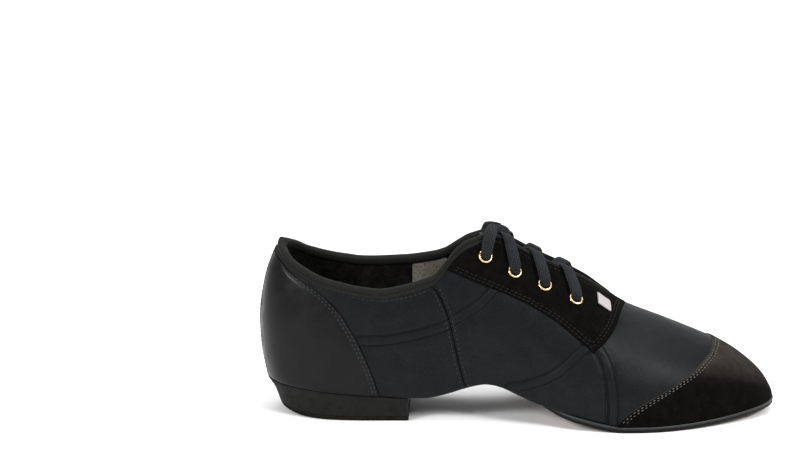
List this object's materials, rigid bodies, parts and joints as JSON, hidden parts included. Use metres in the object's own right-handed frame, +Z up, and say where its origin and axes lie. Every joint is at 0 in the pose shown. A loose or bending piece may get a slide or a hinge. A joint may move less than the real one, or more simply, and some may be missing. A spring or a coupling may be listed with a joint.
{
  "type": "lace-up dance practice shoe",
  "caption": "Low lace-up dance practice shoe for the right foot, with a low heel, a separate forefoot sole and a flexible waist that lets the arch bend.",
  "frame": {"origin": "on the ground, under the middle of the shoe's bounding box", "axes": "+X from heel to toe, +Y towards the inner (medial) side of the foot, +Z up"},
  "size_m": [0.2878, 0.093, 0.1076],
  "materials": {
    "stretch_fabric": "matte stretch fabric, blue black, soft sheen",
    "overlay_suede": "napped suede, deep black",
    "counter_leather": "smooth leather, semi gloss black",
    "stay_leather": "smooth leather strip, satin black",
    "binding_tape": "ribbed tape, olive black, matte",
    "mesh_lining": "knitted mesh, grey beige, matte",
    "heel_suede_lining": "brushed lining, black, matte",
    "sock_lining": "cushioned sock, dark grey, matte",
    "heel_rubber": "moulded, brown black, matte",
    "sole_suede": "raw suede sole, beige under dark edges, matte",
    "sole_board": "pressed leather board, black edge, matte",
    "insole_board": "leather fibre board, tan, matte",
    "eyelet_brass": "pale polished brass",
    "nail_steel": "drawn steel",
    "lace_cord": "flat woven tape, charcoal, matte",
    "aglet_plastic": "clear plastic tip over black lace, glossy",
    "woven_tag": "woven satin tag, off white, blank"
  },
  "bodies": {
    "midfoot": {"vamp_side_lateral": "stretch_fabric", "vamp_side_medial": "stretch_fabric", "facing_lateral": "overlay_suede", "facing_medial": "overlay_suede", "eyelet_lateral_1": "eyelet_brass", "eyelet_lateral_2": "eyelet_brass", "eyelet_lateral_3": "eyelet_brass", "eyelet_lateral_4": "eyelet_brass", "eyelet_medial_1": "eyelet_brass", "eyelet_medial_2": "eyelet_brass", "eyelet_medial_3": "eyelet_brass", "eyelet_medial_4": "eyelet_brass", "quarter_lining_lateral": "mesh_lining", "quarter_lining_medial": "mesh_lining", "tongue": "stretch_fabric", "throat_tag": "woven_tag", "lace": "lace_cord", "lace_knot": "lace_cord", "lace_end_1": "lace_cord", "lace_end_2": "lace_cord", "aglet_1": "aglet_plastic", "aglet_2": "aglet_plastic", "arch_panel": "stretch_fabric", "forefoot_board": "insole_board", "forefoot_sock": "sock_lining", "forefoot_midsole": "sole_board", "forefoot_outsole": "sole_suede"},
    "heel": {"heel_block": "heel_rubber", "heel_tip": "sole_suede", "heel_nail_1": "nail_steel", "heel_nail_2": "nail_steel", "heel_nail_3": "nail_steel", "heel_nail_4": "nail_steel", "heel_nail_5": "nail_steel", "heel_board": "insole_board", "heel_counter_lateral": "counter_leather", "heel_counter_medial": "counter_leather", "back_stay": "stay_leather", "heel_stiffener": "insole_board", "heel_lining": "heel_suede_lining", "rear_quarter_lateral": "stretch_fabric", "rear_quarter_medial": "stretch_fabric", "heel_sock": "sock_lining", "collar_binding": "binding_tape"},
    "toe": {"vamp_front": "stretch_fabric", "toe_cap": "overlay_suede", "toe_puff": "insole_board", "toe_lining": "mesh_lining"}
  },
  "joints": [
    {"name": "waist_flex", "type": "hinge", "parent": "midfoot", "child": "heel", "pos_m": [-0.026, 0, 0.0195], "axis": [0, -1, 0], "range_deg": [0, 20], "stiffness_Nm_per_rad": 0.6, "deforming": ["collar_binding", "quarter_lining_lateral", "quarter_lining_medial", "arch_panel", "heel_sock"]},
    {"name": "toe_flex", "type": "hinge", "parent": "midfoot", "child": "toe", "pos_m": [0.073, 0, 0.003], "axis": [0, -1, 0], "range_deg": [0, 30], "stiffness_Nm_per_rad": 0.4, "deforming": ["vamp_front", "toe_cap", "toe_lining", "forefoot_outsole", "forefoot_midsole", "forefoot_board", "forefoot_sock"]}
  ]
}
